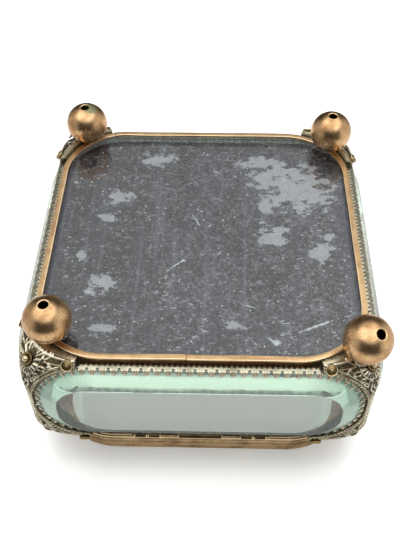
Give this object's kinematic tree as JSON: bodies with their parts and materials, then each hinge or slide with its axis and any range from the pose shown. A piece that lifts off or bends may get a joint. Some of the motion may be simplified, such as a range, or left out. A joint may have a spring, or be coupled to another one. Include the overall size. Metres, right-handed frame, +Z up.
{
  "type": "glass casket box",
  "caption": "Small square casket of thick bevelled glass in an antique brass frame, with pierced corner mounts, a hinged glass lid and drilled ball feet.",
  "frame": {"origin": "on the surface the casket stands on, under the middle of its footprint", "axes": "+Z up, the lid opens at the front (-Y), the hinge is at the back (+Y), +X to the right seen from the front"},
  "size_m": [0.122, 0.122, 0.0775],
  "materials": {
    "frame_brass": "aged, satin, lengthwise drawing lines",
    "lid_brass": "aged, satin, darker in its grooves",
    "foot_brass": "aged, brushed, browned in patches",
    "filigree_brass": "stamped, dark recesses and worn silvery ridges",
    "hinge_brass": "dull",
    "bevelled_glass": "clear, pale green at its bevels",
    "base_glass": "clear, lightly scratched",
    "black_lining": "black sheet, worn through to grey in specks and patches"
  },
  "bodies": {
    "casket": {"base_rim": "frame_brass", "base_glass": "base_glass", "base_lining": "black_lining", "top_rim": "frame_brass", "front_glass": "bevelled_glass", "back_glass": "bevelled_glass", "left_glass": "bevelled_glass", "right_glass": "bevelled_glass", "front_bezel": "filigree_brass", "back_bezel": "filigree_brass", "left_bezel": "filigree_brass", "right_bezel": "filigree_brass", "front_left_mount": "filigree_brass", "front_right_mount": "filigree_brass", "back_left_mount": "filigree_brass", "back_right_mount": "filigree_brass", "rosettes": "filigree_brass", "arm_cups": "filigree_brass", "front_left_foot": "foot_brass", "front_right_foot": "foot_brass", "back_left_foot": "foot_brass", "back_right_foot": "foot_brass", "foot_pegs": "frame_brass", "body_knuckles": "hinge_brass", "hinge_pin": "hinge_brass"},
    "lid": {"lid_frame": "lid_brass", "lid_bezel": "filigree_brass", "lid_glass": "bevelled_glass", "lid_knuckles": "hinge_brass"}
  },
  "joints": [
    {"name": "lid_hinge", "type": "hinge", "parent": "casket", "child": "lid", "pos_m": [0, 0.05595, 0.06245], "axis": [-1, 0, 0], "range_deg": [0, 100]}
  ]
}
